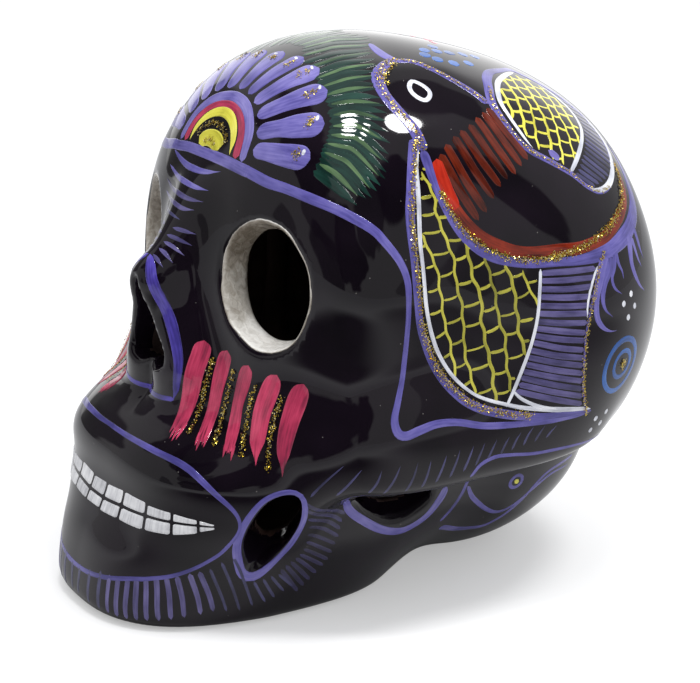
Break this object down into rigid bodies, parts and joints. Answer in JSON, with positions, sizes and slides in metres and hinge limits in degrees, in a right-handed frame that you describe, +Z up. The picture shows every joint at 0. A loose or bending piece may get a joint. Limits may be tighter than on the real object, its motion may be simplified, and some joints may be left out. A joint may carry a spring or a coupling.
{
  "type": "sugar skull decoration",
  "caption": "Hollow painted clay sugar skull with open eye sockets, nose and side openings, a flower, birds and brush strokes; stands on a flat foot under its jaw.",
  "frame": {"origin": "on the surface that the skull stands on, under the middle of its bounding box", "axes": "+Z up; -Y the way the face looks, so Y runs along the skull's length; +X the skull's own left"},
  "size_m": [0.1156, 0.1477, 0.1293],
  "materials": {
    "clay": "fired clay under a coat of clear-varnished black, very glossy",
    "bare_clay": "bare fired clay, matt",
    "white_paint": "white brush paint, uneven, half matt",
    "purple_paint": "lilac-purple brush paint under varnish",
    "raspberry_paint": "raspberry brush paint under varnish",
    "yellow_paint": "yellow brush paint under varnish",
    "red_paint": "brick-red brush paint with gold glitter under varnish",
    "blue_paint": "blue brush paint under varnish"
  },
  "bodies": {
    "root": {"front_half": "clay", "back_half": "clay", "seam_coil": "bare_clay", "eye_lining_left": "white_paint", "eye_lining_right": "white_paint", "teeth_upper": "white_paint", "teeth_lower": "white_paint", "mouth_frame": "purple_paint", "nose_frame": "purple_paint", "cheek_stroke_left_1": "raspberry_paint", "cheek_stroke_left_2": "raspberry_paint", "cheek_stroke_left_3": "raspberry_paint", "cheek_stroke_left_4": "raspberry_paint", "cheek_stroke_left_5": "raspberry_paint", "cheek_stroke_right_1": "raspberry_paint", "cheek_stroke_right_2": "raspberry_paint", "cheek_stroke_right_3": "raspberry_paint", "cheek_stroke_right_4": "raspberry_paint", "cheek_stroke_right_5": "raspberry_paint", "jaw_hole_border_left": "purple_paint", "jaw_hole_border_right": "purple_paint", "shelf_hole_border_left": "purple_paint", "shelf_hole_border_right": "purple_paint", "rosette_core": "yellow_paint", "rosette_crescent": "yellow_paint", "rosette_arc": "raspberry_paint", "rosette_ring": "purple_paint", "rosette_petal_1": "purple_paint", "rosette_petal_2": "purple_paint", "rosette_petal_3": "purple_paint", "rosette_petal_4": "purple_paint", "rosette_petal_5": "purple_paint", "rosette_petal_6": "purple_paint", "rosette_petal_7": "purple_paint", "rosette_petal_8": "purple_paint", "rosette_petal_9": "purple_paint", "rosette_petal_10": "purple_paint", "rosette_petal_11": "purple_paint", "rosette_base": "purple_paint", "brow_line_left": "purple_paint", "brow_line_right": "purple_paint", "bird_back_left": "purple_paint", "bird_head_left": "purple_paint", "bird_belly_left": "red_paint", "bird_upper_wing_left": "purple_paint", "bird_lower_wing_left": "purple_paint", "bird_back_right": "purple_paint", "bird_head_right": "purple_paint", "bird_belly_right": "red_paint", "bird_upper_wing_right": "purple_paint", "bird_lower_wing_right": "purple_paint", "bird_eye_left": "white_paint", "bird_eye_right": "white_paint", "blue_ring_left": "blue_paint", "blue_ring_right": "blue_paint"}
  },
  "joints": []
}
